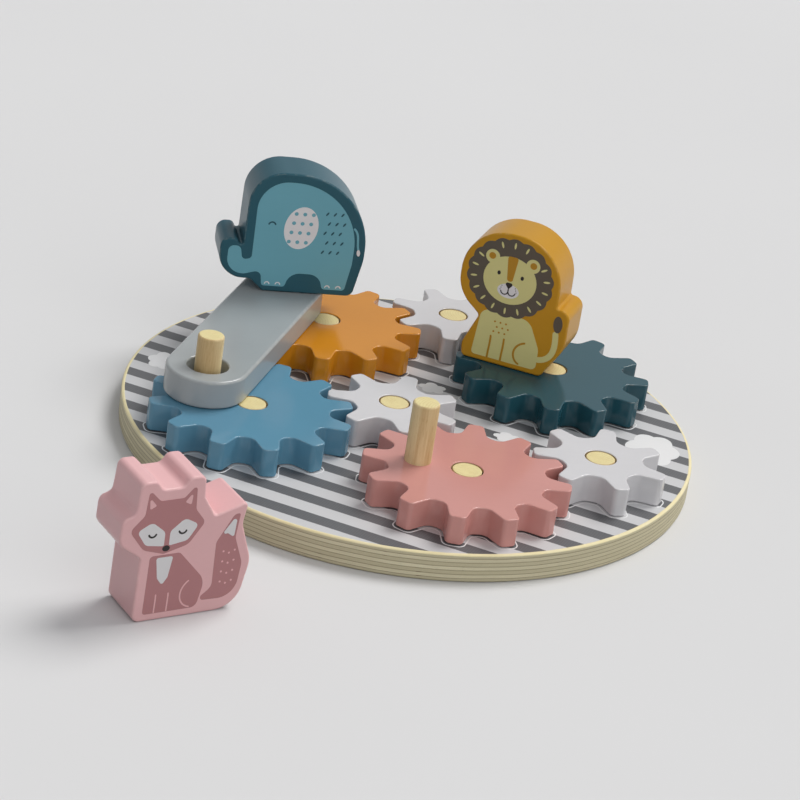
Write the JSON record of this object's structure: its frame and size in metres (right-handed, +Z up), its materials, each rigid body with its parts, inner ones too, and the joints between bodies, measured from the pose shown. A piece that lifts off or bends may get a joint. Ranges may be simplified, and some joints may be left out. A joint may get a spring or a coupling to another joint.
{
  "type": "wooden crank gear toy",
  "caption": "Round plywood board with toothed wooden discs on spindles, a crank peg, a coupling arm and peg-on animals that turn when the crank disc is turned.",
  "frame": {"origin": "centre of the round board's underside, on the table", "axes": "+Z up from the table, +X to the player's right, +Y away from the player"},
  "size_m": [0.243, 0.2991, 0.0911],
  "materials": {
    "birch_plywood": "clear varnish over a printed top, bare plies at the edge",
    "beech_dowel": "bare sanded wood",
    "pink_paint": "semi-gloss paint on wood",
    "blue_paint": "semi-gloss paint on wood",
    "orange_paint": "semi-gloss paint on wood",
    "teal_paint": "semi-gloss paint on wood",
    "white_paint": "semi-gloss paint on wood",
    "grey_paint": "semi-gloss paint on wood",
    "elephant_paint": "semi-gloss paint with a printed face",
    "lion_paint": "semi-gloss paint with a printed face",
    "fox_paint": "semi-gloss paint with a printed face"
  },
  "bodies": {
    "board": {"base_board": "birch_plywood", "spindle_crank_gear": "beech_dowel", "spindle_blue_gear": "beech_dowel", "spindle_orange_gear": "beech_dowel", "spindle_teal_gear": "beech_dowel", "spindle_white_right": "beech_dowel", "spindle_white_centre": "beech_dowel", "spindle_white_back": "beech_dowel"},
    "crank_disc": {"crank_gear_pink": "pink_paint", "crank_peg": "beech_dowel"},
    "white_right_disc": {"gear_white_right": "white_paint"},
    "white_centre_disc": {"gear_white_centre": "white_paint"},
    "blue_disc": {"gear_blue": "blue_paint", "peg_blue_gear": "beech_dowel"},
    "arm": {"coupling_arm": "grey_paint"},
    "orange_disc": {"gear_orange": "orange_paint", "peg_orange_gear": "beech_dowel"},
    "white_back_disc": {"gear_white_back": "white_paint"},
    "teal_disc": {"gear_teal": "teal_paint", "peg_teal_gear": "beech_dowel"},
    "elephant_figure": {"elephant": "elephant_paint"},
    "lion_figure": {"lion": "lion_paint"},
    "fox_figure": {"fox": "fox_paint"}
  },
  "joints": [
    {"name": "crank_spin", "type": "hinge", "parent": "board", "child": "crank_disc", "pos_m": [0.0189, -0.07, 0.0182], "axis": [0, 0, 1], "continuous": true},
    {"name": "white_right_spin", "type": "hinge", "parent": "board", "child": "white_right_disc", "pos_m": [0.07496, -0.04597, 0.0182], "axis": [0, 0, 1], "continuous": true},
    {"name": "white_centre_spin", "type": "hinge", "parent": "board", "child": "white_centre_disc", "pos_m": [-0.00812, -0.01532, 0.0182], "axis": [0, 0, 1], "continuous": true},
    {"name": "blue_spin", "type": "hinge", "parent": "board", "child": "blue_disc", "pos_m": [-0.06701, -0.03121, 0.0182], "axis": [0, 0, 1], "continuous": true},
    {"name": "orange_spin", "type": "hinge", "parent": "board", "child": "orange_disc", "pos_m": [-0.03572, 0.06124, 0.0182], "axis": [0, 0, 1], "continuous": true},
    {"name": "white_back_spin", "type": "hinge", "parent": "board", "child": "white_back_disc", "pos_m": [0.02167, 0.0819, 0.0182], "axis": [0, 0, 1], "continuous": true},
    {"name": "teal_spin", "type": "hinge", "parent": "board", "child": "teal_disc", "pos_m": [0.06232, 0.03643, 0.0182], "axis": [0, 0, 1], "continuous": true},
    {"name": "arm_pivot", "type": "hinge", "parent": "blue_disc", "child": "arm", "pos_m": [-0.08633, -0.02604, 0.0304], "axis": [0, 0, 1], "continuous": true},
    {"name": "elephant_lift", "type": "slide", "parent": "arm", "child": "elephant_figure", "axis": [0, 0, 1], "range_m": [0, 0.02]},
    {"name": "lion_lift", "type": "slide", "parent": "teal_disc", "child": "lion_figure", "axis": [0, 0, 1], "range_m": [0, 0.03]},
    {"name": "fox_lift", "type": "slide", "parent": "board", "child": "fox_figure", "axis": [0, 0, 1], "range_m": [0, 0.03]}
  ],
  "couplings": [
    {"joint": "white_right_spin", "follows": "crank_spin", "ratio": -1.7143},
    {"joint": "white_centre_spin", "follows": "crank_spin", "ratio": -1.7143},
    {"joint": "blue_spin", "follows": "crank_spin", "ratio": 1},
    {"joint": "orange_spin", "follows": "crank_spin", "ratio": 1},
    {"joint": "white_back_spin", "follows": "crank_spin", "ratio": -1.7143},
    {"joint": "teal_spin", "follows": "crank_spin", "ratio": 1},
    {"joint": "arm_pivot", "follows": "crank_spin", "ratio": -1}
  ]
}
